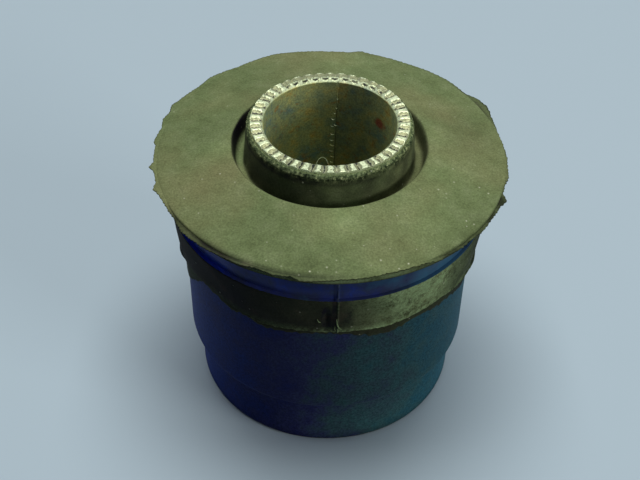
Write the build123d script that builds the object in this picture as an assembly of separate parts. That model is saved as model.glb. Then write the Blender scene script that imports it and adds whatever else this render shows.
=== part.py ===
from build123d import *
import math
import os

# Rubber bush, as moulded: a serrated inner sleeve and a stepped outer sleeve,
# both bonded to one rubber body with a flange at its upper end.
# Z is the axis of the bush, Z = 0 is the plane it stands on, lengths are in mm.

# Inner sleeve
inner_radius = 15.65
inner_wall = 2.5
inner_stand = 5.2
bore_chamfer = 0.65
tooth_count = 42
tooth_depth = 0.5
groove_width = 1.5

# Outer sleeve
outer_radius = 30.0
outer_wall = 2.2
outer_height = 46.4
step_height = 14.0
step_in = 1.9
step_run = 1.4
step_round = 0.8
outer_edge_round = 0.7

# Shoulder that laps over the outer sleeve, neck above it, and film torn off below it
neck_cover = 1.4
neck_height = 7.4
neck_cove = 2.9
edge_cover = 1.7
shoulder_ledge = 0.9
shoulder_taper = 1.0
film_thickness = 0.35

# Flange
flange_overhang = 3.5
flange_off_centre = 0.35
flange_rise = 3.1
rim_thickness = 1.7
rim_round = 0.5

# Annular recess round the inner sleeve, and the rubber skin left on the sleeve
recess_width = 2.85
recess_depth = 3.9
recess_draft = 0.6
recess_rim_round = 0.7
recess_floor_round = 0.8
skin_thickness = 0.9
skin_top_drop = 0.7
skin_bevel = 0.5

# Lower end of the rubber: an annular hollow between the sleeves
hollow_depth = 4.0
hollow_margin = 1.2
hollow_slope = 3.0

# Joint of the mould halves: two thin ribs, half a turn apart, and a void beside one
joint_angle = -86.5
joint_rib_width = 0.45
joint_rib_height = 0.22
void_angle = -90.3
void_drop = 5.3
void_size = (1.3, 5.0)
void_depth = 0.7

# Length of each flat that a round of the section is made of
flat_length = 2.3

# Torn flash round the rim: (angle, how far it stands out past the rim)
flash_drop = 0.6
flash_thickness = 0.4
flash_edge = [
    (0, 0.7), (13, 0.5), (21, 1.4), (27, 2.5), (31, 2.4), (36, 1.1), (53, 0.9), (61, 0.6), (76, 1.1),
    (79, 1.7), (83, 0.6), (90, 0.5), (101, 1.0), (110, 1.5), (118, 0.9), (125, 0.4), (131, 0.9),
    (136, 1.2), (142, 0.5), (151, 1.0), (156, 1.6), (159, 0.8), (164, 1.1), (168, 0.3), (175, 0.8),
    (178, 0.2), (186, 0.2), (188, 1.1), (191, 0.2), (196, 0.2), (199, 1.2), (202, 0.5), (214, 0.3),
    (220, 1.0), (237, 0.5), (243, 0.8), (249, 0.4), (254, 0.9), (259, 0.5), (262, 1.3), (267, 0.9),
    (273, 0.3), (288, 0.2), (294, 0.5), (300, 1.0), (304, 2.2), (308, 1.5), (318, 1.0), (323, 1.5),
    (331, 1.1), (336, 1.2), (339, 1.8), (342, 0.6), (346, 0.5), (349, 1.0),
]

# Torn lower edges of the shoulder and of the film under it: (angle, how far below the ledge)
shoulder_edge = [
    (0, 13.9), (14, 11.6), (30, 9.7), (54, 10.8), (80, 9.3), (108, 10.6), (133, 9.5), (157, 10.9),
    (178, 12.9), (188, 13.1), (197, 11.1), (208, 8.6), (227, 8.0), (246, 10.1), (268, 9.4), (292, 9.7),
    (314, 9.0), (325, 10.1), (337, 10.9), (348, 13.5),
]
film_edge = [
    (0, 16.1), (15, 14.6), (32, 12.5), (54, 13.8), (80, 12.2), (108, 13.4), (138, 12.6), (154, 15.1),
    (168, 18.6), (180, 21.9), (190, 21.3), (199, 17.6), (206, 14.5), (215, 10.9), (240, 11.8),
    (268, 11.2), (288, 13.3), (305, 12.1), (326, 13.9), (336, 16.3), (348, 17.3),
]


def turned(corners, arc=360):
    """Revolve a closed half section of (radius, height, corner round), each round in short flats."""
    path = FilletPolyline([(r, z) for r, z, _ in corners],
                          radius=[c for _, _, c in corners], close=True)
    points = []
    for edge in path.order_edges():
        flats = 1 if edge.geom_type == GeomType.LINE else max(1, round(edge.length / flat_length))
        points += [edge @ (step / flats) for step in range(flats)]
    return revolve(Plane.XZ * make_face(Polyline(points, close=True)), Axis.Z, arc)


def tube(inside, outside, low, high):
    """A plain ring between two radii and two heights."""
    return turned([(inside, low, 0), (outside, low, 0), (outside, high, 0), (inside, high, 0)])


def polar(angle, radius):
    """The point at an angle and radius in plan."""
    return radius * math.cos(math.radians(angle)), radius * math.sin(math.radians(angle))


def below_torn_edge(edge, top, floor, reach):
    """Blocks that fill all that lies under a torn edge, from inside the sleeve wall outwards."""
    inside = outer_radius - outer_wall / 2
    outside = outer_radius + reach
    blocks = []
    for (start, drop), (end, next_drop) in zip(edge, edge[1:] + edge[:1]):
        half = math.radians((end - start) % 360 / 2)
        side = outside * math.tan(half)
        lean = (drop - next_drop) / 2 * outside / outer_radius
        middle = top - (drop + next_drop) / 2
        face = Polyline((-side, floor), (side, floor), (side, middle + lean),
                        (-side, middle - lean), close=True)
        aim = start + math.degrees(half)
        plane = Plane((*polar(aim, inside), 0), z_dir=(*polar(aim, 1), 0),
                      x_dir=(*polar(aim + 90, 1), 0))
        blocks.append(extrude(plane * make_face(face), reach + outer_wall / 2))
    return blocks


# Heights, from the lower end up
shoulder_height = outer_height + edge_cover
rim_low = shoulder_height + neck_height
rim_height = rim_low + rim_thickness
recess_rim_height = rim_height + flange_rise
recess_floor = recess_rim_height - recess_depth
total_height = recess_rim_height + inner_stand
skin_top = total_height - skin_top_drop

# Radii, from the axis out
bore_radius = inner_radius - inner_wall
skin_radius = inner_radius + skin_thickness
recess_radius = skin_radius + recess_width
floor_width = recess_width - 2 * recess_draft
lower_radius = outer_radius - step_in
lower_inside = lower_radius - outer_wall
sleeve_inside = outer_radius - outer_wall
neck_radius = outer_radius + neck_cover
shoulder_radius = neck_radius + shoulder_ledge
foot_radius = shoulder_radius - shoulder_taper
flange_radius = neck_radius + flange_overhang
blank_radius = flange_radius + flange_off_centre

# Inner sleeve: a thick tube with radial teeth rolled across both end faces
inner_sleeve = turned([
    (bore_radius, bore_chamfer, 0), (bore_radius + bore_chamfer, 0, 0), (inner_radius, 0, 0),
    (inner_radius, total_height, 0), (bore_radius + bore_chamfer, total_height, 0),
    (bore_radius, total_height - bore_chamfer, 0),
])
mean_radius = (bore_radius + inner_radius) / 2


def groove_section(radius):
    """The V of one groove between two teeth, wider further from the axis."""
    half = groove_width / 2 * radius / mean_radius
    rise = tooth_depth / 2
    side = half * (1 + rise / tooth_depth)
    return Plane((radius, 0, 0), x_dir=(0, 1, 0), z_dir=(1, 0, 0)) * make_face(
        Polyline((-side, rise), (side, rise), (0, -tooth_depth), close=True))


groove = loft([groove_section(bore_radius - 1), groove_section(inner_radius + 1)], ruled=True)
upper_groove = Pos(0, 0, total_height) * groove
lower_groove = Rot(180, 0, 0) * groove
inner_sleeve -= [spot * cut for spot in PolarLocations(0, tooth_count)
                 for cut in (upper_groove, lower_groove)]

# Outer sleeve: a drawn tube of even wall, stepped in at its lower end
outer_sleeve = turned([
    (lower_inside, 0, 0), (lower_radius, 0, outer_edge_round),
    (lower_radius, step_height - step_run, step_round), (outer_radius, step_height, step_round),
    (outer_radius, outer_height, 0), (sleeve_inside, outer_height, 0),
    (sleeve_inside, step_height, 0), (lower_inside, step_height - step_run, 0),
])

# Rubber body: the block between the sleeves, with recess, flange, neck and shoulder
shoulder_foot = shoulder_height - max(drop for _, drop in shoulder_edge) - 1
floor_round = min(recess_floor_round, floor_width / 2)
rubber_body = turned([
    (inner_radius, hollow_margin, 0), (inner_radius, skin_top, 0),
    (skin_radius - skin_bevel, skin_top, 0), (skin_radius, skin_top - skin_bevel, 0),
    (skin_radius + recess_draft, recess_floor, floor_round),
    (recess_radius - recess_draft, recess_floor, floor_round),
    (recess_radius, recess_rim_height, recess_rim_round),
    (blank_radius, rim_height, 0), (blank_radius, rim_low, 0),
    (neck_radius, rim_low, neck_cove), (neck_radius, shoulder_height, 0),
    (shoulder_radius, shoulder_height, 0), (foot_radius, shoulder_foot, 0),
    (outer_radius, shoulder_foot, 0), (outer_radius, outer_height, 0),
    (sleeve_inside, outer_height, 0), (sleeve_inside, step_height, 0),
    (lower_inside, step_height - step_run, 0),
    (lower_inside, hollow_margin, 0), (lower_inside - hollow_slope, hollow_depth, 0),
    (inner_radius + hollow_slope, hollow_depth, 0),
])

# The flange's rim stands a little off the axis, with its upper edge rounded
waste = 2 * flange_off_centre + 1
rubber_body -= Pos(flange_off_centre, 0, 0) * turned([
    (flange_radius, rim_low - 1, 0), (flange_radius + waste, rim_low - 1, 0),
    (flange_radius + waste, rim_height + waste, 0),
    (flange_radius - waste, rim_height + waste, 0), (flange_radius, rim_height, rim_round),
])

# Joint ribs: the line of neck and shoulder, standing proud over a narrow arc
rib_arc = math.degrees(joint_rib_width / neck_radius)
rib_low = rim_low - joint_rib_height
rib = turned([
    (outer_radius + film_thickness, shoulder_foot, 0),
    (foot_radius + joint_rib_height, shoulder_foot, 0),
    (shoulder_radius + joint_rib_height, shoulder_height + joint_rib_height, 0),
    (neck_radius + joint_rib_height, shoulder_height + joint_rib_height, 0),
    (neck_radius + joint_rib_height, rib_low, neck_cove),
    (flange_radius, rib_low, 0), (flange_radius, rim_low, 0),
    (outer_radius + film_thickness, rim_low, 0),
], rib_arc)
rubber_body += [Rot(0, 0, joint_angle + turn - rib_arc / 2) * rib for turn in (0, 180)]

# The shoulder tears off along a ragged edge, with a thin film left on the sleeve below it
torn_reach = shoulder_radius + joint_rib_height + 1 - outer_radius
rubber_body -= below_torn_edge(shoulder_edge, shoulder_height, shoulder_foot - 1, torn_reach)
film_foot = shoulder_height - max(drop for _, drop in film_edge) - 1
film = tube(outer_radius, outer_radius + film_thickness, film_foot,
            shoulder_height - min(drop for _, drop in shoulder_edge) + 1)
rubber_body += film - below_torn_edge(film_edge, shoulder_height, film_foot - 1, torn_reach)

# Torn flash round the rim
outline = [polar(angle, flange_radius + reach) for angle, reach in flash_edge]
flash = make_face(Polyline(outline, close=True)) - Circle(flange_radius - 1)
flash_height = rim_height - flash_drop - flash_thickness
rubber_body += Pos(0, 0, flash_height) * extrude(flash, flash_thickness)

# A shallow void beside the joint rib
void_shape = extrude(Ellipse(void_size[0] / 2, void_size[1] / 2), shoulder_ledge + void_depth)
void_plane = Plane((*polar(void_angle, shoulder_radius - void_depth), shoulder_height - void_drop),
                   z_dir=(*polar(void_angle, 1), 0), x_dir=(*polar(void_angle + 90, 1), 0))
rubber_body -= void_plane * void_shape

os.makedirs("parts", exist_ok=True)
for name, solid in (("inner_sleeve", inner_sleeve), ("outer_sleeve", outer_sleeve),
                    ("rubber_body", rubber_body)):
    export_step(solid, f"parts/{name}.step")
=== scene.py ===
import math

import bpy
import numpy as np
from mathutils import Euler, Matrix


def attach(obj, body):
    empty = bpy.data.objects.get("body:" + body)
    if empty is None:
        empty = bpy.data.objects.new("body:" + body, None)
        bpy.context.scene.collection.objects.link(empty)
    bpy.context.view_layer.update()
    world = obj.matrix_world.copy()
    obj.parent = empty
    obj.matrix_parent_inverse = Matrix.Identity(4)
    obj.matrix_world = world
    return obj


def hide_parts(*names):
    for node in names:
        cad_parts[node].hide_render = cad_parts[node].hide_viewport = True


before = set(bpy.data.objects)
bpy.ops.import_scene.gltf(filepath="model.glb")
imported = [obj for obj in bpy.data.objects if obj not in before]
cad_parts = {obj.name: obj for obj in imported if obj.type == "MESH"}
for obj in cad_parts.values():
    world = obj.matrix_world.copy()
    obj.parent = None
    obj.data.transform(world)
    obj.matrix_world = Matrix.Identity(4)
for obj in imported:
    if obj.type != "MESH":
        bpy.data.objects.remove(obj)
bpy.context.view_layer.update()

# ---------------------------------------------------------------- inner sleeve
# A thick steel tube that the bolt passes through. It is rolled up from strip, so its bore has
# a butt seam, and radial teeth are rolled across both ends to bite into the bracket.

# Its radii and height in mm, and the cuts at its edges
BORE, INNER, TALL = 13.15, 15.65, 65.5
CHAMFER, EDGE = 0.65, 0.12
TEETH, TOOTH = 42, 0.5
# The seam lies at this angle at this height, and leans by so many degrees for each mm
SEAM, SEAM_UP, SEAM_LEAN = 85.1, 44.4, 0.097


def section(corners, step, most=400):
    """A closed half section from (radius, height, corner round), anticlockwise. Each corner is
    cut by the arc that touches both its sides; runs and arcs are divided at about step, into
    at most so many parts."""
    p = np.array([c[:2] for c in corners], float)
    size = np.array([c[2] for c in corners], float)
    back, ahead = np.roll(p, 1, 0) - p, np.roll(p, -1, 0) - p
    back /= np.linalg.norm(back, axis=1)[:, None]
    ahead /= np.linalg.norm(ahead, axis=1)[:, None]
    half = np.arccos(np.clip((back * ahead).sum(1), -1, 1)) / 2
    reach = size / np.tan(half)
    start, end = p + back * reach[:, None], p + ahead * reach[:, None]
    middle = back + ahead
    middle /= np.maximum(np.linalg.norm(middle, axis=1), 1e-9)[:, None]
    centre = p + middle * (size / np.sin(half))[:, None]
    out = []
    for i in range(len(p)):
        if size[i] > 0:
            a, b = start[i] - centre[i], end[i] - centre[i]
            sweep = math.pi - 2 * half[i]
            n = max(3, math.ceil(size[i] * sweep / step))
            t = np.linspace(0, 1, n, endpoint=False)[:, None]
            arc = a * np.sin((1 - t) * sweep) + b * np.sin(t * sweep)
            out.append(centre[i] + arc / math.sin(sweep))
        nxt = start[(i + 1) % len(p)]
        n = min(max(1, math.ceil(np.linalg.norm(nxt - end[i]) / step)), most)
        out.append(end[i] + (nxt - end[i]) * np.linspace(0, 1, n, endpoint=False)[:, None])
    return np.concatenate(out).T


def ring_mesh(name, x, y, z, **values):
    """A closed ring surface in mm from grids of x, y and z, rows along the section and columns
    round the axis, with both ends joined up. Values are stored as attributes at its points."""
    rows, cols = x.shape
    mesh = bpy.data.meshes.new(name)
    i = np.arange(rows)[:, None] * cols
    j = np.arange(cols)[None, :]
    i1, j1 = np.roll(i, -1, 0), np.roll(j, -1, 1)
    quads = np.stack([i + j, i + j1, i1 + j1, i1 + j], -1).reshape(-1, 4)
    mesh.from_pydata(np.stack([x, y, z], -1).reshape(-1, 3) * 0.001, [], quads)
    for key, value in values.items():
        layer = mesh.attributes.new(key, "FLOAT", "POINT")
        layer.data.foreach_set("value", np.broadcast_to(value, x.shape).ravel().astype(np.float32))
    mesh.polygons.foreach_set("use_smooth", np.ones(len(quads), bool))
    mesh.set_sharp_from_angle(angle=math.radians(38))
    piece = bpy.data.objects.new(name, mesh)
    bpy.context.scene.collection.objects.link(piece)
    return piece


def waves(seed, around, along, count, most, fine):
    """A smooth unevenness of about -1 to 1: the sum of count cosines, over twice the root of
    half the count. Each makes a whole number of turns below most round the axis and up to fine
    radians per mm along the section, and has its own phase."""
    rng = np.random.default_rng(seed)
    total = 0
    for _ in range(count):
        total = total + np.cos(rng.integers(1, most) * around + rng.uniform(-fine, fine) * along
                               + rng.uniform(0, 2 * math.pi))
    return total / math.sqrt(count / 2) / 2


def from_angle(angle, middle):
    """How far each angle in radians lies from a middle in degrees, as -180 to 180 degrees."""
    return (np.degrees(angle) - middle + 180) % 360 - 180


def round_the_axis(pairs, angle):
    """A value read off (degrees, value) pairs at each angle, straight between them and closed."""
    degrees, value = np.array(pairs, float).T
    return np.interp(np.degrees(angle) % 360, degrees, value, period=360)


def bell(distance, width):
    """A smooth hump, e to the minus square of distance over width: 1 at distance 0, and down
    to 0.37 at the width either side."""
    return np.exp(-(distance / width) ** 2)


def ramp(value, start, run):
    """The distance past the start as a share of the run, held between 0 and 1. A negative run
    goes downwards."""
    return np.clip((value - start) / run, 0, 1)


def seat(piece, slot, *nodes):
    """The piece rides on the bush and stands for CAD nodes, which it hides. The slot is not used.
    """
    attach(piece, "root")
    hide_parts(*nodes)


columns = TEETH * 18
turn = np.radians(np.arange(columns) * 360 / columns)
r, h = section([(BORE, CHAMFER, 0), (BORE + CHAMFER, 0, 0), (INNER - EDGE, 0, 0),
                (INNER, EDGE, 0), (INNER, TALL - EDGE, 0), (INNER - EDGE, TALL, 0),
                (BORE + CHAMFER, TALL, 0), (BORE, TALL - CHAMFER, 0)], 0.2, 16)
r, h = r[:, None], h[:, None]

# Each groove between the teeth has its own place, width and depth, and narrows at both ends
rng = np.random.default_rng(4)
pitch = 2 * math.pi / TEETH
number = np.round(turn / pitch).astype(int) % TEETH
shift = rng.uniform(-0.10, 0.10, TEETH)[number] * pitch
away = np.abs((turn - shift + pitch / 2) % pitch - pitch / 2) / pitch
width = rng.uniform(0.30, 0.40, TEETH)[number]
across = 2 * (r - BORE) / (INNER - BORE) - 1
width = width * (1.08 - 0.30 * across ** 4)
deep = TOOTH * rng.uniform(0.8, 1.1, TEETH)[number] * np.clip(1 - away / width, 0, 1)
deep = np.maximum(deep + 0.03 * waves(8, turn, r, 18, 190, 7), 0)
height = np.clip(h, deep, TALL - deep)
end = (h < CHAMFER + 0.05) | (h > TALL - CHAMFER - 0.05)
groove = np.clip(deep / TOOTH, 0, 1) * end * (r < INNER - 0.01)
top = h > TALL / 2
on_chamfer = (r > BORE + 0.01) & (r < BORE + CHAMFER + 0.01) & top
# On the upper chamfer each groove's end is darkened by painted shade
notch = 0.9 * (on_chamfer & (r > BORE + 0.2)) * np.clip(1.7 - 2.4 * away / width, 0, 1)
groove = np.where(on_chamfer, notch, groove)

# Along the far arc the teeth end in scallops of painted light and shade: a painted highlight
# arches over a hollow of painted shade at each groove, and the faces behind it are crushed
# dull, with painted highlights on their outer corners
phase = np.clip(2 * away, 0, 1)
from_arch = r - (BORE + 1.35 - 1.1 * phase ** 2)
crushed = 0.45 - 0.5 * (phase > 0.62) * (r > INNER - 0.35)
hollow = ramp(from_arch, -0.08, -0.12) * ramp(r + 0.2 * phase, BORE + 0.46, 0.12)
right = ramp(from_angle(turn, 84), 0, -8)
dark = np.maximum(0.98 * ramp(phase, 0.66, -0.12), 0.24 * right)
scallop = np.where(from_arch > 0.28, crushed, 0.0) + hollow * dark
far_arc = round_the_axis([(0, 0), (38, 0), (50, 1), (120, 1), (134, 0)], turn)
groove = np.where(top & end, groove + far_arc * (scallop - groove), groove)

# The seam is a fine groove down the bore, and painted shade darkens the bore towards it, most
# from one side. The oil film covers the bore and thins out over its mouth
in_bore = r < BORE + 0.01
beside = from_angle(turn, SEAM) + SEAM_LEAN * (h - SEAM_UP)
seam = 0.6 * bell(beside * math.radians(BORE), 0.13) * in_bore
lap = np.where(beside < 0, ramp(beside, -86, 60), 0.7 * bell(beside, 24)) * in_bore
film = np.maximum(in_bore, 0.45 * ramp(r, BORE + 0.3, -0.2))
radius = r + 0.10 * seam
inner_sleeve = ring_mesh("inner_sleeve_steel", radius * np.cos(turn), radius * np.sin(turn),
                         height, groove=groove, film=film, seam=seam, lap=lap)


def linear(code):
    """An sRGB hex colour as linear red, green, blue and alpha."""
    c = np.array([int(code[i:i + 2], 16) for i in (0, 2, 4)]) / 255
    c = np.where(c <= 0.04045, c / 12.92, ((c + 0.055) / 1.055) ** 2.4)
    return (*map(float, c), 1.0)


def add(material, kind, links=(), stops=(), **settings):
    """Adds a node to a material. Settings are its own properties or input values by name, with
    underscores for spaces, or _1 for input 1; links are {input: socket}; stops are the (place,
    hex colour) pairs of a colour ramp. A MapRange's inputs 1 to 4 are from, from, to and to."""
    node = material.node_tree.nodes.new("ShaderNode" + kind)
    for key, value in settings.items():
        if hasattr(node, key):
            setattr(node, key, value)
        else:
            name = int(key[1:]) if key[0] == "_" else key.replace("_", " ")
            node.inputs[name].default_value = value
    for name, socket in dict(links).items():
        material.node_tree.links.new(socket, node.inputs[name])
    for number, (place, code) in enumerate(stops):
        if number > 1:
            node.color_ramp.elements.new(place)
        node.color_ramp.elements[number].position = place
        node.color_ramp.elements[number].color = linear(code)
    return node


def blank(name):
    """A new material with no nodes."""
    material = bpy.data.materials.new(name)
    material.use_nodes = True
    material.node_tree.nodes.clear()
    return material


# Mild steel, rolled and left bare: cream-bright crests where the teeth were pressed, dull
# crushed flanks between them, and an oil film with rust blooms and one red smear dried on in
# the bore. The grain is drawn at 0.4 mm, coarser than the real 0.1 mm, or it would not show
steel = blank("mild_steel_rolled_bare")
place = add(steel, "TexCoord").outputs["Object"]
grain = add(steel, "TexNoise", {0: place}, Scale=2600.0, Detail=3.0, Roughness=0.65).outputs[0]
blotch = add(steel, "TexNoise", {0: place}, Scale=210.0, Detail=6.0, Roughness=0.7).outputs[0]
stain = add(steel, "TexNoise", {0: place}, Scale=400.0, Detail=4.0, Roughness=0.7,
            Distortion=0.6).outputs[0]
oil = add(steel, "ValToRGB", {0: blotch}, [(0.32, "829C96"), (0.44, "A0AC84"),
                                           (0.56, "BEC084"), (0.68, "D2BC6C")]).outputs[0]
rust = add(steel, "MapRange", {0: stain}, _1=0.57, _2=0.68, _4=0.7).outputs[0]
oil = add(steel, "MixRGB", {0: rust, 1: oil}, Color2=linear("C08A3A")).outputs[0]
smear_at = (0.0101, 0.0083, 0.0582)
red = add(steel, "VectorMath", {0: place}, operation="DISTANCE", _1=smear_at).outputs[1]
red = add(steel, "Math", {0: red, 1: stain}, operation="MULTIPLY").outputs[0]
red = add(steel, "MapRange", {0: red}, _1=0.0004, _2=0.0008, _3=0.8, _4=0.0).outputs[0]
oil = add(steel, "MixRGB", {0: red, 1: oil}, Color2=linear("B03A2C")).outputs[0]
# The bore's painted shade deepens towards the seam
lap = add(steel, "Attribute", attribute_name="lap").outputs["Fac"]
shade = add(steel, "MapRange", {0: lap}, _3=1.0, _4=0.45).outputs[0]
fleck = add(steel, "MapRange", {0: grain}, _1=0.35, _2=0.65, _3=0.75, _4=1.25).outputs[0]
shade = add(steel, "Math", {0: shade, 1: fleck}, operation="MULTIPLY").outputs[0]
oil = add(steel, "VectorMath", {0: oil, "Scale": shade}, operation="SCALE").outputs[0]
seam = add(steel, "Attribute", attribute_name="seam").outputs["Fac"]
oil = add(steel, "MixRGB", {0: seam, 1: oil}, Color2=linear("1E1E16")).outputs[0]
cut = add(steel, "Attribute", attribute_name="groove").outputs["Fac"]
crush = add(steel, "TexNoise", {0: place}, Scale=1500.0, Detail=3.0, Roughness=0.75).outputs[0]
chip = add(steel, "MapRange", {0: crush}, _1=0.3, _2=0.7, _3=-0.22, _4=0.22).outputs[0]
cut = add(steel, "Math", {0: cut, 1: chip}, operation="ADD").outputs[0]
# Crests to groove bottoms; the dark lines at the crests' edges and the grooves' bottoms are painted
# shade
face = add(steel, "ValToRGB", {0: cut}, [(0.0, "E6ECC0"), (0.12, "DCE2B6"), (0.21, "5A5C40"),
                                         (0.33, "AAAA80"), (0.60, "9C9C74"), (0.72, "CACAA0"),
                                         (0.88, "34362A")]).outputs[0]
fleck = add(steel, "MapRange", {0: grain}, _1=0.35, _2=0.65, _3=0.66, _4=1.16).outputs[0]
face = add(steel, "VectorMath", {0: face, "Scale": fleck}, operation="SCALE").outputs[0]
film = add(steel, "Attribute", attribute_name="film").outputs["Fac"]
colour = add(steel, "MixRGB", {0: film, 1: face, 2: oil}).outputs[0]
rough = add(steel, "MapRange", {0: film}, _3=0.46, _4=0.7).outputs[0]
bump = add(steel, "Bump", {"Height": grain}, Strength=0.4, Distance=0.0001).outputs[0]
metal = add(steel, "MapRange", {0: film}, _3=0.6, _4=0.7).outputs[0]
shader = add(steel, "BsdfPrincipled", {"Base Color": colour, "Roughness": rough, "Metallic": metal,
                                       "Normal": bump})
add(steel, "OutputMaterial", {0: shader.outputs[0]})
inner_sleeve.data.materials.append(steel)
seat(inner_sleeve, "bare_steel", "inner_sleeve")

# ---------------------------------------------------------------- burrs along the seam
# Slivers of steel that the strip's edges raised where they meet, and one curl of swarf that
# is caught on the mouth of the bore. They are the tube's own metal, bright where they broke.


def sliver(points, thick, around=6):
    """A thin round wire through a few points, which tapers to both ends: rings of points lie
    about a smooth curve, each in the plane across it, and both ends are closed by a point."""
    points = np.array(points, float)
    t = np.linspace(0, len(points) - 1, 14)
    steps = np.arange(len(points))
    line = np.stack([np.interp(t, steps, points[:, k]) for k in range(3)], 1)
    for _ in range(3):
        line[1:-1] = (line[:-2] + 2 * line[1:-1] + line[2:]) / 4
    ahead = np.gradient(line, axis=0)
    ahead /= np.linalg.norm(ahead, axis=1)[:, None]
    slant = (0.31, 0.22, 0.93)
    across = np.cross(ahead, slant)
    across /= np.linalg.norm(across, axis=1)[:, None]
    upward = np.cross(ahead, across)
    size = thick / 2 * np.sqrt(np.clip(1 - np.linspace(-1, 1, len(t)) ** 2, 0, 1))
    a = (np.arange(around) * 2 * math.pi / around)[:, None]
    ring = across[:, None] * np.cos(a) + upward[:, None] * np.sin(a)
    rings = line[:, None] + size[:, None, None] * ring
    verts = np.concatenate([line[:1], rings[1:-1].reshape(-1, 3), line[-1:]])
    n = len(t) - 2
    i = 1 + np.arange(n - 1)[:, None] * around
    j = np.arange(around)[None, :]
    j1 = np.roll(j, -1, 1)
    quads = np.stack([i + j, i + j1, i + around + j1, i + around + j], -1).reshape(-1, 4)
    last = 1 + (n - 1) * around
    first_cap = np.stack([0 * j, 1 + j1, 1 + j], -1)
    last_cap = np.stack([last + around + 0 * j, last + j, last + j1], -1)
    return verts, quads, np.concatenate([first_cap, last_cap]).reshape(-1, 3)


def slivers(name, key, paths):
    """One piece of many slivers, each from its points in mm, its thickness and the value of one
    attribute that its material reads."""
    verts, faces, values, count = [], [], [], 0
    for points, thick, value in paths:
        v, quads, caps = sliver(points, thick)
        faces += (quads + count).tolist() + (caps + count).tolist()
        verts.append(v)
        values.append(np.full(len(v), value, np.float32))
        count += len(v)
    mesh = bpy.data.meshes.new(name)
    mesh.from_pydata(np.concatenate(verts) * 0.001, [], faces)
    mesh.attributes.new(key, "FLOAT", "POINT").data.foreach_set("value", np.concatenate(values))
    mesh.polygons.foreach_set("use_smooth", np.ones(len(faces), bool))
    piece = bpy.data.objects.new(name, mesh)
    bpy.context.scene.collection.objects.link(piece)
    return piece


def on_tube(radius, angle, height):
    """A point in mm on a round tube, from an angle in degrees and a height."""
    return radius * math.cos(math.radians(angle)), radius * math.sin(math.radians(angle)), height


# Each nick in the seam: degrees, height, size and how oily it is
nicks = [(83.4, 60.8, 0.35, 0.1), (84.0, 58.4, 0.4, 0.1), (85.4, 57.0, 0.45, 0.2),
         (87.0, 55.4, 0.8, 0.1), (84.6, 53.9, 0.8, 0.0), (87.6, 53.6, 0.7, 0.4),
         (87.2, 51.4, 0.9, 0.2), (87.8, 49.8, 0.9, 0.5), (87.0, 48.4, 1.0, 0.6),
         (87.9, 46.9, 1.0, 0.6), (86.9, 45.3, 1.0, 0.7), (87.4, 43.8, 0.9, 0.7)]
paths = [([on_tube(BORE + 0.03, angle - 2.1 * size, tall - 0.05 * size),
           on_tube(BORE - 0.20, angle, tall),
           on_tube(BORE + 0.03, angle + 2.1 * size, tall + 0.16 * size)], 0.15, oily)
         for angle, tall, size, oily in nicks]
# The curl of swarf stands in the mouth, and a longer burr lies along the seam's upper end
curl = [on_tube(BORE + 0.15, -102.5, 63.3), (-2.75, -12.0, 63.4), (-2.45, -10.9, 64.3),
        (-1.4, -10.3, 65.3), (-0.35, -10.9, 64.3), (-0.1, -12.0, 63.4),
        on_tube(BORE + 0.1, -90.5, 63.2)]
edge_burr = [on_tube(BORE + 0.02, 83.0, 64.7), on_tube(BORE - 0.02, 83.3, 62.0),
             on_tube(BORE + 0.02, 83.6, 58.9)]
paths += [(curl, 0.075, 1.0), (edge_burr, 0.12, 0.85)]
burrs = slivers("bore_seam_burrs", "film", paths)
burrs.data.materials.append(steel)
seat(burrs, "bare_steel", "inner_sleeve")

# ---------------------------------------------------------------- outer sleeve
# A drawn steel sleeve that presses into the housing, stepped in at its lower end. The coat
# that bonds it to the rubber covers it all over, dark and smooth.

# Its outside radii above and below the step, its wall, and the heights of its upper end, of the
# step's top and of the taper below that
OUTER, LOWER, WALL = 30.0, 28.1, 2.2
COLLAR, STEP, TAPER = 46.4, 14.0, 1.4

turn = np.radians(np.arange(360.0))
r, h = section([(LOWER - WALL, 0, 0), (LOWER, 0, 0.7), (LOWER, STEP - TAPER, 0.8),
                (OUTER, STEP, 0.8), (OUTER, COLLAR, 0), (OUTER - WALL, COLLAR, 0),
                (OUTER - WALL, STEP, 0), (LOWER - WALL, STEP - TAPER, 0)], 0.25, 60)
r, h = r[:, None], h[:, None]
low = h < STEP - TAPER - 0.1
outside = (r > OUTER - WALL + 0.01) | low & (r > LOWER - WALL + 0.01)
radius = r - 0.02 * (1 + waves(21, turn, h, 12, 9, 0.3)) * outside
outer_sleeve = ring_mesh("outer_sleeve_steel", radius * np.cos(turn), radius * np.sin(turn),
                         h + 0 * turn)

# Drawn steel under a dark bonding coat: matt navy, clouded at random with teal, turned teal
# towards the right by painted light, lifted by painted light towards its lower end, and rubbed
# brown on the lower edge; its gloss is tinted blue as a painted reflection. The pits are drawn
# at 0.5 mm, coarser than the real 0.1 mm, so that they break up the light
coat = blank("drawn_steel_bonding_coat")
place = add(coat, "TexCoord").outputs["Object"]
xyz = add(coat, "SeparateXYZ", {0: place}).outputs
speck = add(coat, "TexNoise", {0: place}, Scale=2200.0, Detail=4.0, Roughness=0.75).outputs
cloud = add(coat, "TexNoise", {0: place}, Scale=110.0, Detail=8.0, Roughness=0.75).outputs[0]
cloud = add(coat, "MapRange", {0: cloud}, _1=0.3, _2=0.7, _3=0.25, _4=0.75).outputs[0]
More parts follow.
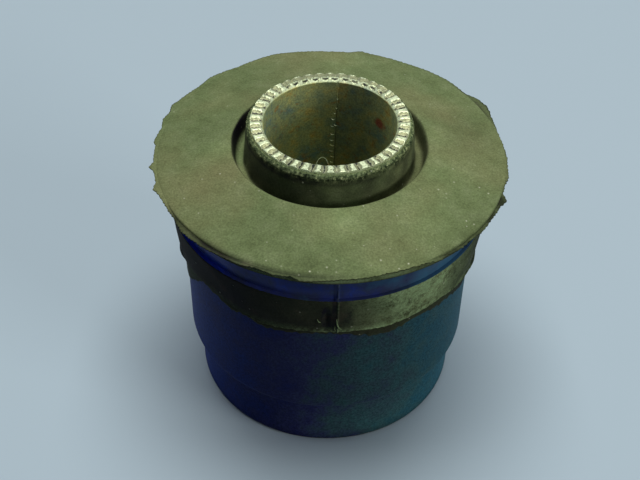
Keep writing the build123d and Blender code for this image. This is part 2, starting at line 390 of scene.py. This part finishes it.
# Painted light: the coat turns teal towards the right
side = add(coat, "MapRange", {0: xyz[0]}, _1=-0.03, _2=0.03, _3=-0.5, _4=0.5).outputs[0]
side = add(coat, "Math", {0: cloud, 1: side}, operation="ADD").outputs[0]
paint = add(coat, "ValToRGB", {0: side}, [(0.05, "1A2C6C"), (0.30, "262A56"), (0.44, "32385C"),
                                          (0.62, "344A52"), (0.76, "34565A"),
                                          (0.95, "24505E")]).outputs[0]
fleck = add(coat, "MapRange", {0: speck[0]}, _1=0.35, _2=0.65, _3=0.55, _4=1.5).outputs[0]
paint = add(coat, "VectorMath", {0: paint, "Scale": fleck}, operation="SCALE").outputs[0]
# Painted light lifts the lower part of the sleeve, least at its very bottom edge
foot = add(coat, "MapRange", {0: xyz[2]}, _2=0.02).outputs[0]
foot = add(coat, "ValToRGB", {0: foot}, [(0.0, "BCBCBC"), (0.12, "FFFFFF"), (0.25, "FFFFFF"),
                                         (0.85, "D4D4D4")]).outputs[0]
foot = add(coat, "SeparateColor", {0: foot}).outputs[0]
foot = add(coat, "Math", {0: foot}, operation="MULTIPLY", _1=1.5).outputs[0]
paint = add(coat, "VectorMath", {0: paint, "Scale": foot}, operation="SCALE").outputs[0]
low = add(coat, "MapRange", {0: xyz[2]}, _1=0.0002, _2=0.0011, _3=0.85, _4=0.0).outputs[0]
worn = add(coat, "Math", {0: low, 1: speck[0]}, operation="MULTIPLY").outputs[0]
worn = add(coat, "MapRange", {0: worn}, _1=0.22, _2=0.42).outputs[0]
paint = add(coat, "MixRGB", {0: worn, 1: paint}, Color2=linear("4A3A30")).outputs[0]
bump = add(coat, "Bump", {"Height": speck[0]}, Strength=0.35, Distance=0.00008).outputs[0]
# The blue tint of the gloss is a painted reflection
shader = add(coat, "BsdfPrincipled", {"Base Color": paint, "Normal": bump}, IOR=1.5, Roughness=0.6,
             Specular_IOR_Level=0.15, Specular_Tint=linear("6E86D6"))
add(coat, "OutputMaterial", {0: shader.outputs[0]})
outer_sleeve.data.materials.append(coat)
seat(outer_sleeve, "coated_steel", "outer_sleeve")

# ---------------------------------------------------------------- rubber body
# Natural rubber, moulded between the two sleeves in one shot and bonded to both. It has a
# flange, a ring recess, a thin skin up the inner sleeve and a shoulder lapped over the collar.

# Its radii, then its heights: the shoulder lies between foot and ledge, the flange's rim between
# low rim and rim, and the skin ends at the cut. The hollow is in its underside
SKIN, RECESS, NECK, FLANGE = 16.55, 19.4, 31.4, 34.9
LEDGE, RIM_LOW, RIM, FLOOR, LIP, CUT = 48.1, 55.5, 57.2, 56.4, 60.3, 64.8
SHOULDER, BULGE, DRAWN_IN = 10.0, 0.9, 0.95
FOOT = LEDGE - SHOULDER
HOLLOW_LOW, HOLLOW_TOP, HOLLOW_RUN = 1.2, 4.0, 3.0
OFF_AXIS, JOINT = 0.35, -86.5

# How far the torn edge hangs below the ledge, in mm at each angle in degrees, and how much
# darker the flange is along its rim
torn_lip = [(0, 13.9), (14, 11.6), (30, 9.7), (48, 10.9), (64, 9.3), (82, 10.1), (98, 9.2),
            (116, 10.7), (133, 9.5), (150, 10.5), (165, 11.7), (178, 12.9), (188, 13.1),
            (197, 11.1), (206, 8.9), (217, 8.2), (227, 8.0), (236, 9.1), (246, 10.1), (256, 9.6),
            (268, 9.4), (280, 9.3), (292, 9.7), (305, 9.2), (315, 9.0), (325, 10.1),
            (337, 10.9), (348, 13.5)]
dull_rim = [(0, 0), (222, 0), (230, 0.45), (262, 0.45), (270, 0.3), (278, 0.1), (286, 0)]

# Columns stand closer together at the two joint lines
near = np.arange(-6.5, 6.5, 0.2)
columns = [np.arange(0, 360, 0.72), (JOINT + near) % 360, (JOINT + 180 + near) % 360]
turn = np.radians(np.unique(np.round(np.concatenate(columns), 3)))
r, h = section([(INNER, HOLLOW_LOW, 0), (INNER + HOLLOW_RUN, HOLLOW_TOP, 0),
                (LOWER - WALL - HOLLOW_RUN, HOLLOW_TOP, 0), (LOWER - WALL, HOLLOW_LOW, 0),
                (LOWER - WALL, STEP - TAPER, 0), (OUTER - WALL, STEP, 0),
                (OUTER - WALL, COLLAR, 0), (OUTER, COLLAR, 0), (OUTER, FOOT, 0),
                (NECK + 0.2, FOOT, 0.25), (NECK + BULGE, LEDGE, 0.2), (NECK, LEDGE, 0),
                (NECK, RIM_LOW, 2.9), (FLANGE, RIM_LOW, 0), (FLANGE, RIM, 0.4),
                (RECESS, LIP, 0.7), (RECESS - 0.6, FLOOR, 0.8), (SKIN + 0.6, FLOOR, 0.8),
                (SKIN, CUT - 0.5, 0.3), (SKIN - 0.45, CUT, 0), (INNER, CUT, 0)], 0.6, 36)

# Of the rows that the sleeves hide, one in eight is kept, and all those at the corners
hidden = (r < OUTER + 0.01) & (h < COLLAR + 0.01) & (h > HOLLOW_TOP + 0.1)
hidden |= r < INNER + 0.01
keep = ~hidden
keep[hidden] = np.arange(hidden.sum()) % 8 == 0
corners = np.array([HOLLOW_LOW, STEP - TAPER, STEP, COLLAR, CUT])
keep |= (np.abs(h[:, None] - corners) < 0.01).any(1) | (np.abs(h - FOOT) < 0.3)
r, h = r[keep], h[keep]
rr, hh = r[:, None] + 0 * turn, h[:, None] + 0 * turn
along = np.concatenate([[0], np.cumsum(np.hypot(np.diff(r), np.diff(h)))])[:, None]

# The shoulder hangs down to its torn edge, and draws in a little on the way
nibbled = round_the_axis([(262, 0.22), (280, 0.09), (328, 0.09), (345, 0.22)], turn)
drop = round_the_axis(torn_lip, turn) + nibbled * waves(31, turn, 0, 16, 150, 0)
skirt = (hh < LEDGE - 0.01) & (rr > OUTER - 0.01)
share = np.clip((LEDGE - hh) / SHOULDER, 0, 1)
hh = np.where(skirt, LEDGE - share * drop, hh)
belly = NECK + BULGE - DRAWN_IN * np.maximum((LEDGE - hh) / SHOULDER, 0) ** 1.6
rr = np.where(skirt & (rr > NECK + 0.1), np.minimum(rr, belly), rr)

# The mould's joint leaves a thin fin down neck and shoulder, front and back, and beside it in
# front are a burst blister and a smudge
BLISTER, BLISTER_UP = -90.3, 42.8
SMUDGE, SMUDGE_UP = -82.4, 44.0
degree = math.radians(NECK)  # its length on the neck, in mm
open_side = (rr > NECK - 0.01) & (hh < RIM_LOW - 0.1)
fin = bell(from_angle(turn, JOINT) * degree, 0.17)
fin = (fin + bell(from_angle(turn, JOINT + 180) * degree, 0.17)) * open_side
blister = bell(from_angle(turn, BLISTER) * degree, 0.62) * bell(hh - BLISTER_UP, 2.3)
blister = blister * skirt * (rr > OUTER + 0.4)
smudge = bell(from_angle(turn, SMUDGE) * degree, 1.1) * bell(hh - SMUDGE_UP, 2.6) * skirt
rr = rr + 0.24 * fin - 0.7 * blister

# The flange's rim stands off the axis; open surfaces are a little uneven
out = ramp(rr, FLANGE - 1.9, 1.9) * (hh > LEDGE + 3)
open_air = (hh > LEDGE - 14) & (rr > OUTER + 0.02) | (hh > FLOOR - 0.1) & (rr > INNER + 0.3)
uneven = 0.05 * waves(33, turn, along, 20, 24, 1.2) * open_air - 0.05 * open_air
ragged = 0.5 * waves(36, turn, 0, 24, 60, 0)
raw = ramp(hh, CUT - 1.5 + ragged, 0.5) * (rr < SKIN + 0.6) * (rr > INNER + 0.01)
uneven = uneven + 0.08 * (waves(35, turn, along, 30, 300, 12) - 0.6) * raw
x = (rr + uneven) * np.cos(turn) + OFF_AXIS * out
y = (rr + uneven) * np.sin(turn)

# Where its look changes. The shoulder is dark, partly tarry and partly painted shade, but for a
# stretch on the right that is scuffed and lit by painted light, brightest near its top, and
# its torn edge, and the fin is rubbed light here and there
band = skirt & (rr > OUTER + 0.4)
# This profile leaves the shoulder lighter on the right front, partly as painted light
bare = round_the_axis([(20, 0.3), (150, 0.3), (180, 0.03), (238, 0.03), (248, 0.09), (262, 0.13),
                       (270, 0.17), (274, 0.13), (279, 0.32), (285, 0.42), (293, 0.76),
                       (300, 1.1), (308, 1.0), (314, 0.8), (320, 0.45), (330, 0.3),
                       (345, 0.1)], turn)
patch = 0.5 + 0.5 * waves(37, turn, hh, 24, 26, 1.3)
edge = ramp(share, 0.80, 0.15) * bell(from_angle(turn, -70), 42)
scuff = band * (bare ** 2 * (0.95 + 0.8 * np.clip(1.1 - share * 1.4, 0, 1)) + 0.35 * edge)
scuff = scuff + 0.45 * band * ramp(share, 0.92, 0.06) * bell(from_angle(turn, -60), 34)
broken = np.clip(0.5 + waves(39, 0, hh, 9, 2, 7), 0, 1)
scuff = scuff + 0.3 * fin * band * broken + 0.2 * bell(hh - CUT, 0.3) * raw
tar = band * (1 - np.clip(bare * (0.75 + 0.5 * patch) + 0.3 * edge, 0, 1))

# The recess is darkened by painted shade, on the skin's side, in its corners and under its lip,
# and so are the raw edge and the rim's side in places
in_recess = (hh > FLOOR - 0.2) & (rr < RECESS + 0.05) & (rr > SKIN - 0.1)
on_skin = rr < SKIN + 0.75
far_side = bell(from_angle(turn, -133), 38)
shaded = 0.10 + (0.46 - 0.4 * far_side) * (1 - patch) + 0.52 * far_side
shaded = shaded + 0.3 * bell(hh - CUT + 1.9, 0.35) + 0.15 * bell(hh - FLOOR, 2.2)
tar = tar + (in_recess & on_skin & (hh < CUT - 0.8)) * shaded
tar = tar + 0.25 * raw * bell(from_angle(turn, -118), 26)
rim = (hh > RIM_LOW - 0.1) & (hh < RIM - 0.35) & (rr > FLANGE - 0.6)
tar = tar + rim * (0.1 + 0.3 * patch + 0.4 * bell(from_angle(turn, -38), 20))
# A painted shadow of the skin lies on the recess's outer wall on the left
crescent = 0.5 * bell(from_angle(turn, 165), 32) * ramp(hh, FLOOR + 0.4, 0.6)
shaded = 0.05 + (0.45 + crescent) * ramp(rr, RECESS - 1.2, 0.6)
tar = tar + (in_recess & ~on_skin & (hh < LIP - 0.3)) * shaded
tar = np.clip(tar + 1.2 * blister + 0.3 * smudge, 0, 1)

# The flange's top is darker along the rim at the front left, and lighter or darker in patches,
# partly at random and partly as painted light and shade: degrees, distance from the axis, size
# and gain. Painted light also lies on the recess's floor at one side
on_top = (hh > RIM - 0.3) & (rr > RECESS - 0.3) & (hh < LIP + 0.3)
dull = on_top * round_the_axis(dull_rim, turn) * ramp(rr, FLANGE - 1.0, 0.5)
tar = np.clip(tar + dull, 0, 1)
patches = [(-172, 21.5, 3.5, 0.3), (12, 28.0, 6.0, -0.2), (8, 21.5, 3.0, 0.2),
           (-75, 34.0, 3.0, 0.12), (85, 31.0, 6.0, 0.2), (-85, 22.5, 5.0, 0.35),
           (-50, 26.0, 6.0, 0.15), (-20, 24.0, 5.0, 0.12), (-95, 34.0, 4.0, -0.1),
           (150, 27.0, 5.0, 0.1), (-52, 34.6, 1.5, -0.15), (-43, 34.6, 1.5, -0.2),
           (-35, 34.5, 1.8, -0.2)]
pale = 0
for angle, far, size, gain in patches:
    at_x, at_y, _ = on_tube(far, angle, 0)
    pale = pale + gain * bell(np.hypot(x - at_x, y - at_y), size)
floor_light = 0.5 * bell(from_angle(turn, -165), 30) * (in_recess & (hh < FLOOR + 0.6))

# A painted shadow runs down beside the fin. In front the rim's side is painted lighter over a
# thin edge of painted shade
cleft = 0.7 * bell(from_angle(turn, JOINT - 1.2) * degree, 0.3) * open_side
tar = np.clip(tar + 0.9 * cleft * band, 0, 1)
front = rim * np.clip(1.5 - np.abs(from_angle(turn, -88)) / 30, 0, 1)
low_edge = ramp(hh, RIM_LOW + 0.45, -0.15)
cleft = np.maximum(cleft, 0.5 * front * low_edge)
tar = tar + front * (0.9 * low_edge - tar)
scuff = scuff + 0.6 * front * (1 - low_edge)
rubber = ring_mesh("rubber_body_moulding", x, y, hh + uneven * 0.6, scuff=np.clip(scuff, 0, 1),
                   tar=tar, raw=raw, pale=pale * on_top + floor_light, cleft=cleft,
                   ridge=fin * broken * 0.4)

# Natural rubber as moulded, with an olive bloom: matt, clouded and flecked with light specks
# that are thicker on the front, black with painted shade in the recess, partly tarry and partly
# painted shade on the shoulder, and crumbled where it was cut off round the inner sleeve. The
# grain is drawn at 0.4 mm, coarser than the real 0.05 mm, so that it shows
bloom = blank("natural_rubber_moulded")
place = add(bloom, "TexCoord").outputs["Object"]
grain = add(bloom, "TexNoise", {0: place}, Scale=2700.0, Detail=2.0, Roughness=0.6).outputs[0]
mottle = add(bloom, "TexNoise", {0: place}, Scale=240.0, Detail=6.0, Roughness=0.68).outputs[0]
cloud = add(bloom, "TexNoise", {0: place}, Scale=48.0, Detail=3.0, Roughness=0.5).outputs[0]
olive = add(bloom, "ValToRGB", {0: mottle}, [(0.25, "67744D"), (0.5, "77865C"),
                                             (0.75, "87946C")]).outputs[0]
warm = add(bloom, "MapRange", {0: cloud}, _1=0.42, _2=0.68, _4=0.45).outputs[0]
olive = add(bloom, "MixRGB", {0: warm, 1: olive}, Color2=linear("84795A")).outputs[0]
tar = add(bloom, "Attribute", attribute_name="tar").outputs["Fac"]
# The torn attribute darkens the flash and film, mostly as painted shade
torn = add(bloom, "Attribute", attribute_name="torn").outputs["Fac"]
ragged = add(bloom, "MapRange", {0: mottle}, _1=0.35, _2=0.62, _3=0.5, _4=1.3).outputs[0]
torn = add(bloom, "Math", {0: torn, 1: ragged}, operation="MULTIPLY", use_clamp=True).outputs[0]
olive = add(bloom, "MixRGB", {0: torn, 1: olive}, Color2=linear("343A28")).outputs[0]
raw = add(bloom, "Attribute", attribute_name="raw").outputs["Fac"]
scrape = add(bloom, "TexNoise", {0: place}, Scale=1500.0, Detail=5.0, Roughness=0.75).outputs[0]
crumb = add(bloom, "ValToRGB", {0: scrape}, [(0.36, "20291A"), (0.50, "4A563A"),
                                             (0.60, "8A9468"), (0.68, "D2D2A8")]).outputs[0]
olive = add(bloom, "MixRGB", {0: raw, 1: olive, 2: crumb}).outputs[0]
soot = add(bloom, "ValToRGB", {0: mottle}, [(0.36, "111018"), (0.54, "1A161C"),
                                            (0.70, "382A2B")]).outputs[0]
scuff = add(bloom, "Attribute", attribute_name="scuff").outputs["Fac"]
blot = add(bloom, "MapRange", {0: mottle}, _1=0.36, _2=0.46, _3=0.3, _4=0.0).outputs[0]
blot = add(bloom, "Math", {0: blot, 1: scuff}, operation="MULTIPLY").outputs[0]
tar = add(bloom, "Math", {0: tar, 1: blot}, operation="ADD", use_clamp=True).outputs[0]
olive = add(bloom, "MixRGB", {0: tar, 1: olive, 2: soot}).outputs[0]
streak = add(bloom, "Math", {0: mottle, 1: scrape}, operation="MULTIPLY").outputs[0]
streak = add(bloom, "MapRange", {0: streak}, _1=0.17, _2=0.29).outputs[0]
streak = add(bloom, "Math", {0: streak, 1: scuff}, operation="MULTIPLY").outputs[0]
olive = add(bloom, "MixRGB", {0: streak, 1: olive}, Color2=linear("AAC692")).outputs[0]
shade = add(bloom, "MapRange", {0: cloud}, _1=0.3, _2=0.7, _3=0.88, _4=1.12).outputs[0]
# The pale attribute adds painted light and shade on the flange top and painted light on the recess
# floor
pale = add(bloom, "Attribute", attribute_name="pale").outputs["Fac"]
shade = add(bloom, "Math", {0: shade, 1: pale}, operation="ADD").outputs[0]
olive = add(bloom, "VectorMath", {0: olive, "Scale": shade}, operation="SCALE").outputs[0]
fleck = add(bloom, "MapRange", {0: grain}, _1=0.33, _2=0.7, _3=0.80, _4=1.22).outputs[0]
olive = add(bloom, "VectorMath", {0: olive, "Scale": fleck}, operation="SCALE").outputs[0]
cell = add(bloom, "TexVoronoi", {0: place}, Scale=620.0).outputs
dust = add(bloom, "MapRange", {0: cell["Distance"]}, _1=0.07, _2=0.15, _3=1.0, _4=0.0).outputs[0]
few = add(bloom, "SeparateColor", {0: cell["Color"]}).outputs[0]
few = add(bloom, "MapRange", {0: few}, _1=0.62, _2=0.95, _4=0.9).outputs[0]
front = add(bloom, "SeparateXYZ", {0: place}).outputs[1]
front = add(bloom, "MapRange", {0: front}, _1=-0.026, _2=0.0, _3=1.0, _4=0.3).outputs[0]
few = add(bloom, "Math", {0: few, 1: front}, operation="MULTIPLY").outputs[0]
dust = add(bloom, "Math", {0: dust, 1: few}, operation="MULTIPLY").outputs[0]
olive = add(bloom, "MixRGB", {0: dust, 1: olive}, Color2=linear("D9DCC4")).outputs[0]
bump = add(bloom, "Bump", {"Height": grain}, Strength=0.35, Distance=0.00012).outputs[0]
shader = add(bloom, "BsdfPrincipled", {"Base Color": olive, "Normal": bump}, IOR=1.5,
             Roughness=0.75, Specular_IOR_Level=0.06)
add(bloom, "OutputMaterial", {0: shader.outputs[0]})
rubber.data.materials.append(bloom)

# The same rubber with no bloom, smooth from the mould: the neck is painted with a dark blue
# reflection that turns to teal on the right as painted light, it is lifted by painted light
# towards the ledge and its gloss is tinted blue as a painted reflection; the joint cuts it with
# a painted shadow and a broken fin
shiny = blank("natural_rubber_smooth")
place = add(shiny, "TexCoord").outputs["Object"]
cloud = add(shiny, "TexNoise", {0: place}, Scale=150.0, Detail=4.0, Roughness=0.6).outputs[0]
xyz = add(shiny, "SeparateXYZ", {0: place}).outputs
# Painted light: the neck turns teal towards the right
side = add(shiny, "MapRange", {0: xyz[0]}, _1=-0.03, _2=0.03, _3=-0.3, _4=0.3).outputs[0]
side = add(shiny, "Math", {0: cloud, 1: side}, operation="ADD").outputs[0]
ink = add(shiny, "ValToRGB", {0: side}, [(0.28, "163A98"), (0.36, "1E2E6E"),
                                         (0.48, "222C4A"), (0.80, "305E78")]).outputs[0]
# Painted light lifts the neck, most towards the ledge
dusty = add(shiny, "MapRange", {0: xyz[2]}, _1=0.0478, _2=0.0515, _3=1.5, _4=1.3).outputs[0]
ink = add(shiny, "VectorMath", {0: ink, "Scale": dusty}, operation="SCALE").outputs[0]
ledge = add(shiny, "MapRange", {0: xyz[2]}, _1=0.0482, _2=0.0505, _3=1.0, _4=0.0).outputs[0]
ink = add(shiny, "MixRGB", {0: ledge, 1: ink}, blend_type="ADD",
          Color2=linear("343642")).outputs[0]
cleft = add(shiny, "Attribute", attribute_name="cleft").outputs["Fac"]
ink = add(shiny, "MixRGB", {0: cleft, 1: ink}, Color2=linear("0C1220")).outputs[0]
ridge = add(shiny, "Attribute", attribute_name="ridge").outputs["Fac"]
ink = add(shiny, "MixRGB", {0: ridge, 1: ink}, Color2=linear("7C8A78")).outputs[0]
rough = add(shiny, "MapRange", {0: cloud}, _1=0.3, _2=0.7, _3=0.26, _4=0.42).outputs[0]
shader = add(shiny, "BsdfPrincipled", {"Base Color": ink, "Roughness": rough}, IOR=1.5,
             Specular_IOR_Level=0.25, Specular_Tint=linear("3E6AF0"))
add(shiny, "OutputMaterial", {0: shader.outputs[0]})
rubber.data.materials.append(shiny)
neck_rows = (h > LEDGE - 0.05) & (h < RIM_LOW - 0.01) & (r > NECK - 0.01) & (r < FLANGE - 0.3)
smooth = np.repeat(neck_rows.astype(np.int32), len(turn))
rubber.data.polygons.foreach_set("material_index", smooth)
seat(rubber, "moulded_rubber", "rubber_body")

# ---------------------------------------------------------------- flash on the rim
# Rubber that crept between the mould plates and tore when the bush was pulled out. It stands
# out from the rim as a thin ragged web, level with the top in front and lower at the sides.

# How far inside the rim the web is rooted, how high it lies where it isn't flush, and how far
# it reaches past the rim, in mm at each angle in degrees
ROOT, WEB_LOW = 1.0, 56.38
torn_rim = [(0, 0.7), (6, 0.5), (13, 0.5), (21, 1.4), (27, 2.5), (31, 2.4), (36, 1.1), (45, 1.0),
            (53, 0.9), (61, 0.6), (69, 0.8), (76, 1.1), (79, 1.7), (83, 0.6), (90, 0.5), (101, 1.0),
            (110, 1.5), (118, 0.9), (125, 0.4), (131, 0.9), (136, 1.2), (142, 0.5), (151, 1.0),
            (156, 1.6), (159, 0.8), (164, 1.1), (168, 0.3), (175, 0.8), (178, 0.2), (186, 0.2),
            (188, 1.1), (191, 0.2), (196, 0.2), (199, 1.2), (202, 0.5), (208, 0.3), (214, 0.3),
            (220, 1.0), (230, 0.8), (237, 0.5), (243, 0.8), (249, 0.4), (254, 0.9), (259, 0.5),
            (262, 1.3), (267, 1.0), (273, 0.6), (279, 0.6), (288, 0.4), (294, 0.5), (300, 0.6),
            (304, 1.1), (308, 0.8), (313, 0.9), (318, 0.7), (323, 1.1), (331, 0.9), (336, 1.1),
            (339, 1.8), (342, 0.6), (346, 0.5), (349, 1.0), (354, 0.7)]
turn = np.radians(np.arange(0, 360, 0.3))
nibbled = 0.12 * np.maximum(1 + waves(41, turn, 0, 18, 300, 0), 0)
reach = np.clip(round_the_axis(torn_rim, turn) - nibbled, 0.08, 2.5)
rows = 9
across = np.linspace(0, 1, rows)[:, None]
web = np.concatenate([across, across[::-1]])
face = np.repeat([-1.0, 1.0], rows)[:, None]
half_thick = 0.20 - 0.13 * web ** 0.7
beyond = web * (ROOT + reach) - ROOT
radius = FLANGE + beyond

# Where it is flush it lies level with the flange's top and bends down a little past the rim;
# elsewhere it hangs low and sways
flush = round_the_axis([(0, 0.8), (14, 0.7), (19, 0.1), (36, 0.1), (44, 1), (206, 1),
                        (214, 0.25), (236, 0.3), (246, 1), (298, 1), (308, 0.15),
                        (340, 0.15), (350, 0.8)], turn)
lift = RIM - 0.08 + 0.06 * ramp(beyond, -ROOT, 0.6) - half_thick - WEB_LOW
sway = 0.14 * web * waves(43, turn, 0, 10, 40, 0)
level = WEB_LOW + flush * (lift - 0.14 * np.maximum(beyond, 0)) + sway * (1 - flush)

# It is darkened by painted shade where it hangs low, along its torn edge, underneath and at its
# root, and more again along the front left of the rim
dark = round_the_axis([(0, 1), (12, 0.45), (42, 0.45), (54, 1)], turn)
torn = (1 - flush) * dark * np.clip(web * 2, 0, 1) + 0.9 * (web > 0.99)
tar = 0.8 * (1 - flush) * bell(web - 0.35, 0.22) + 0.6 * (face < 0)
dull = round_the_axis(dull_rim, turn) * ramp(beyond, -1.0, 0.5)
tar = tar + dull * (1 + 0.6 * bell(beyond, 0.2))
flash = ring_mesh("rim_flash", radius * np.cos(turn), radius * np.sin(turn),
                  level + face * half_thick, torn=np.clip(torn, 0, 1), tar=np.clip(tar, 0, 1))
flash.data.materials.append(bloom)
seat(flash, "moulded_rubber", "rubber_body")

# ---------------------------------------------------------------- film under the shoulder
# A film of the body's own rubber, bonded to the outer sleeve and left there, dark and thin,
# where the shoulder tore away.

# How far below the ledge it begins, tucked up behind the shoulder, and how far its torn edge
# hangs below the ledge, in mm at each angle in degrees
TUCK = 7.0
torn_film = [(0, 16.1), (15, 14.6), (32, 12.5), (50, 13.9), (68, 12.1), (85, 12.9), (103, 11.9),
             (120, 14.1), (138, 12.6), (154, 15.1), (168, 18.6), (180, 21.9), (190, 21.3),
             (199, 17.6), (206, 14.5), (215, 10.9), (224, 11.3), (231, 12.1), (238, 11.5),
             (246, 12.6), (258, 11.9), (270, 11.2), (280, 12.0), (288, 13.3), (297, 13.3),
             (305, 12.1), (314, 12.9), (326, 13.9), (336, 16.3), (348, 17.3)]
turn = np.radians(np.arange(0, 360, 0.6))
foot = LEDGE - round_the_axis(torn_film, turn) + 0.32 * waves(51, turn, 0, 18, 150, 0)
head = LEDGE - TUCK
rows = 14
share = np.linspace(0, 1, rows)[:, None]
# It thickens quickly from its torn edge to 0.35 mm, and its back lies on the sleeve
outer_face = OUTER + 0.05 + 0.30 * np.clip(share * 6, 0, 1) ** 0.5
radius = np.concatenate([outer_face, np.full((rows, 1), OUTER)])
height = np.concatenate([foot + share * (head - foot), head - share * (head - foot)])
# Its darkness is partly painted shade under the shoulder; painted light leaves it lighter on the
# right front
tar = round_the_axis([(0, 0.85), (270, 0.7), (285, 0.6), (300, 0.5), (318, 0.55),
                      (332, 0.85)], turn)
left_film = ring_mesh("shoulder_film", radius * np.cos(turn), radius * np.sin(turn), height,
                      torn=0.6, tar=tar)
left_film.data.materials.append(bloom)
seat(left_film, "moulded_rubber", "rubber_body")

# ---------------------------------------------------------------- torn wisps
# Shreds of the joint's fin that hang at the torn edge of the shoulder. They are of the body's
# own rubber and are still joined to it at one end.

# Each shred: its points, its thickness and how light it is rubbed
paths = [([on_tube(32.15, -86.9, 43.3), on_tube(32.3, -86.8, 41.9), on_tube(32.3, -86.2, 40.9),
           on_tube(32.0, -85.0, 40.0)], 0.24, 0.8),
         ([on_tube(31.9, -87.3, 41.2), on_tube(32.1, -87.6, 40.2), on_tube(31.8, -86.9, 39.4)],
          0.14, 0.5),
         ([on_tube(31.9, -93.6, 42.9), on_tube(32.2, -92.9, 42.4), on_tube(31.9, -92.2, 41.9)],
          0.20, 0.7)]
wisps = slivers("joint_wisps", "scuff", paths)
wisps.data.materials.append(bloom)
seat(wisps, "moulded_rubber", "rubber_body")

# ---------------------------------------------------------------- stage, light and camera
# A plain pale floor, a soft lamp overhead, a low one on the right and a faint fill all round.
# Floor and backdrop look pale, but light the bush only faintly.


def in_view(owner, fill, code):
    """The colour of a surface or world: code where the camera sees it, also in a gloss or
    through glass, and fill for the light that it throws on other things."""
    ray = add(owner, "LightPath").outputs
    seen = add(owner, "Math", {0: ray["Is Camera Ray"], 1: ray["Is Glossy Ray"]},
               operation="MAXIMUM").outputs[0]
    seen = add(owner, "Math", {0: seen, 1: ray["Is Transmission Ray"]},
               operation="MAXIMUM").outputs[0]
    return add(owner, "MixRGB", {0: seen}, Color1=linear(fill), Color2=linear(code)).outputs[0]


floor_mesh = bpy.data.meshes.new("floor")
floor_mesh.from_pydata([(-3, -3, 0), (3, -3, 0), (3, 3, 0), (-3, 3, 0)], [], [(0, 1, 2, 3)])
floor = bpy.data.objects.new("floor", floor_mesh)
bpy.context.scene.collection.objects.link(floor)

# Pale card, pressed matt, which the bush stands on
card = blank("pale_card")
shown = in_view(card, "2A3644", "C3D6E6")
shader = add(card, "BsdfPrincipled", {"Base Color": shown}, Roughness=0.9, Specular_IOR_Level=0.1)
add(card, "OutputMaterial", {0: shader.outputs[0]})
floor_mesh.materials.append(card)


def lamp(name, azimuth, elevation, distance, width, height, power, code):
    """A soft rectangular lamp that faces the bush; azimuth 0 is the right, 90 the back."""
    data = bpy.data.lights.new(name, "AREA")
    data.shape, data.size, data.size_y = "RECTANGLE", width, height
    data.energy, data.color = power, linear(code)[:3]
    obj = bpy.data.objects.new(name, data)
    a, e = math.radians(azimuth), math.radians(elevation)
    obj.location = (distance * math.cos(e) * math.cos(a), distance * math.cos(e) * math.sin(a),
                    distance * math.sin(e) + 0.03)
    obj.rotation_euler = (math.pi / 2 - e, 0, a + math.pi / 2)
    bpy.context.scene.collection.objects.link(obj)


lamp("high_lamp", 90, 82, 1.2, 0.9, 0.7, 11.2, "FFFFF8")
lamp("right_lamp", -30, 18, 1.2, 0.5, 0.35, 3.8, "FFFFF8")

world = bpy.data.worlds.new("backdrop")
bpy.context.scene.world = world
world.use_nodes = True
world.node_tree.nodes.clear()
sky = add(world, "Background", {0: in_view(world, "20252C", "C9DAE8")})
add(world, "OutputWorld", {0: sky.outputs[0]})

camera = bpy.data.objects.new("camera", bpy.data.cameras.new("camera"))
focal, image_width, sensor = 1150, 640, 36  # the first two in pixels
camera.data.lens, camera.data.sensor_width = focal / image_width * sensor, sensor
camera.location = (-0.001625, -0.177788, 0.203867)
look_down, roll = 0.765675, 0.0154237
tilt = Euler((math.pi / 2 - look_down, 0, 0)).to_matrix() @ Matrix.Rotation(roll, 3, "Z")
camera.rotation_euler = tilt.to_euler("XYZ")
bpy.context.scene.collection.objects.link(camera)
bpy.context.scene.camera = camera
bpy.context.scene.view_settings.view_transform = "Standard"
